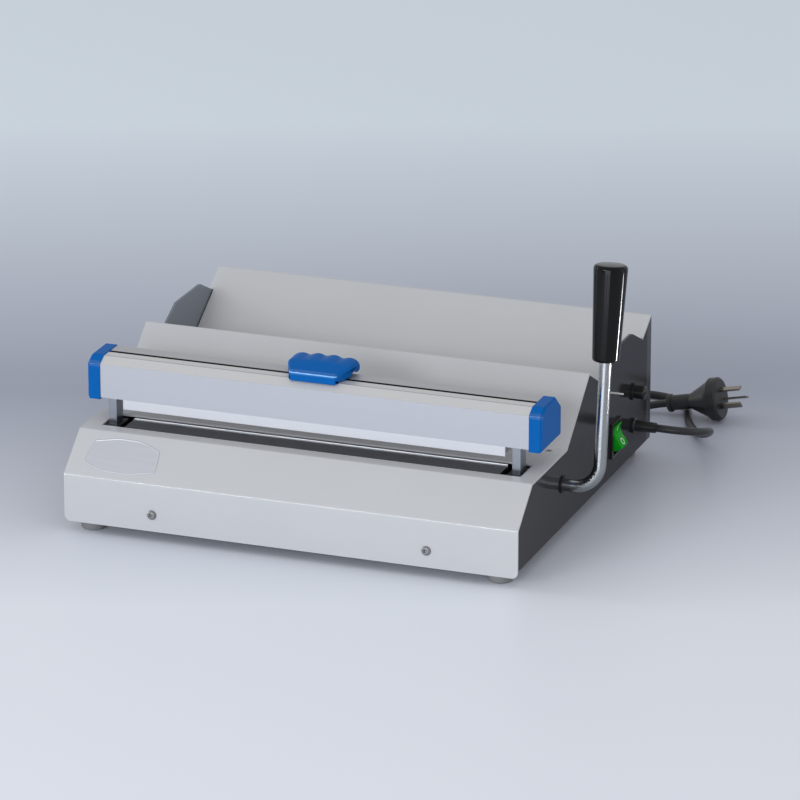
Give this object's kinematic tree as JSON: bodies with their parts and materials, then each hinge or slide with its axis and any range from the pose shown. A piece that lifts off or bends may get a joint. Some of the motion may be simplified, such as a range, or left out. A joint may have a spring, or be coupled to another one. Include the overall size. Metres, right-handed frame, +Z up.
{
  "type": "manual sealing machine",
  "caption": "Tabletop hand-lever film sealer with a blue-capped press bar, sliding film cutter, roll trough, rocker switch and a mains lead with plug.",
  "frame": {"origin": "under the middle of the machine's box, on the surface it stands on, with the free cord and plug left out", "axes": "+X to the machine's right, where its lever is; +Y from the front panel to the back; +Z up"},
  "size_m": [0.4392, 0.4674, 0.2283],
  "materials": {
    "cover_paint": "satin light grey powder coat",
    "side_paint": "glossy dark grey paint",
    "zinc_plate": "zinc plated",
    "foot_rubber": "matt",
    "jaw_metal": "dark anodised",
    "ribbon": "bright resistance ribbon",
    "cloth": "coated glass cloth",
    "black_nylon": "matt",
    "black_gloss": "glossy",
    "laminations": "varnished laminations",
    "winding": "varnished copper wire",
    "ivory_plastic": "satin",
    "dark_red_plastic": "matt",
    "polished_steel": "polished",
    "satin_aluminium": "satin anodised",
    "blue_plastic": "glossy",
    "red_silicone": "matt",
    "post_steel": "brushed",
    "white_nylon": "matt",
    "green_plastic": "glossy",
    "cord_rubber": "satin",
    "plated_brass": "plated"
  },
  "bodies": {
    "base": {"front_cover": "cover_paint", "rear_cover": "cover_paint", "left_side_plate": "side_paint", "right_side_plate": "side_paint", "base_tray": "zinc_plate", "feet": "foot_rubber", "cover_screws": "zinc_plate", "jaw_brackets": "zinc_plate", "lower_jaw": "jaw_metal", "insulation_strip": "cloth", "heating_element": "ribbon", "nonstick_tape": "cloth", "clamp_strips": "zinc_plate", "post_guides": "black_nylon", "shaft_bushes": "black_nylon", "switch_frame": "black_gloss", "fuse_holder": "black_gloss", "fuse_cap": "black_gloss", "cord_gland": "black_nylon", "transformer_core": "laminations", "transformer_coil": "winding", "terminal_block": "ivory_plastic", "limit_switch": "dark_red_plastic", "left_return_spring": "zinc_plate", "right_return_spring": "zinc_plate", "cord_lead": "cord_rubber", "cord_coil": "cord_rubber", "cord_tail": "cord_rubber", "plug_body": "black_nylon", "plug_pins": "plated_brass"},
    "lever": {"lever_rod": "polished_steel", "lever_grip": "black_gloss", "left_crank_arm": "zinc_plate", "right_crank_arm": "zinc_plate", "shaft_collars": "zinc_plate"},
    "press": {"press_bar": "satin_aluminium", "left_end_cap": "blue_plastic", "right_end_cap": "blue_plastic", "jaw_holder": "satin_aluminium", "silicone_strip": "red_silicone", "left_post": "post_steel", "right_post": "post_steel", "crank_pins": "zinc_plate", "post_screws": "zinc_plate"},
    "cutter": {"cutter_handle": "blue_plastic", "cutter_shoe": "white_nylon", "cutter_blade": "post_steel"},
    "rocker": {"switch_rocker": "green_plastic"}
  },
  "joints": [
    {"name": "lever_turn", "type": "hinge", "parent": "base", "child": "lever", "pos_m": [-0.0212, -0.06, 0.0495], "axis": [1, 0, 0], "range_deg": [0, 15.27]},
    {"name": "press_slide", "type": "slide", "parent": "base", "child": "press", "axis": [0, 0, -1], "range_m": [0, 0.0126], "stiffness_N_per_m": 1200, "springref_m": -0.01, "deforming": ["left_return_spring", "right_return_spring"]},
    {"name": "cutter_slide", "type": "slide", "parent": "press", "child": "cutter", "axis": [1, 0, 0], "range_m": [-0.146, 0.146]},
    {"name": "rocker_turn", "type": "hinge", "parent": "base", "child": "rocker", "pos_m": [0.1638, 0.0715, 0.0445], "axis": [0, 1, 0], "range_deg": [0, 20]}
  ],
  "couplings": [
    {"joint": "press_slide", "follows": "lever_turn", "m_per_rad": 0.04728}
  ]
}
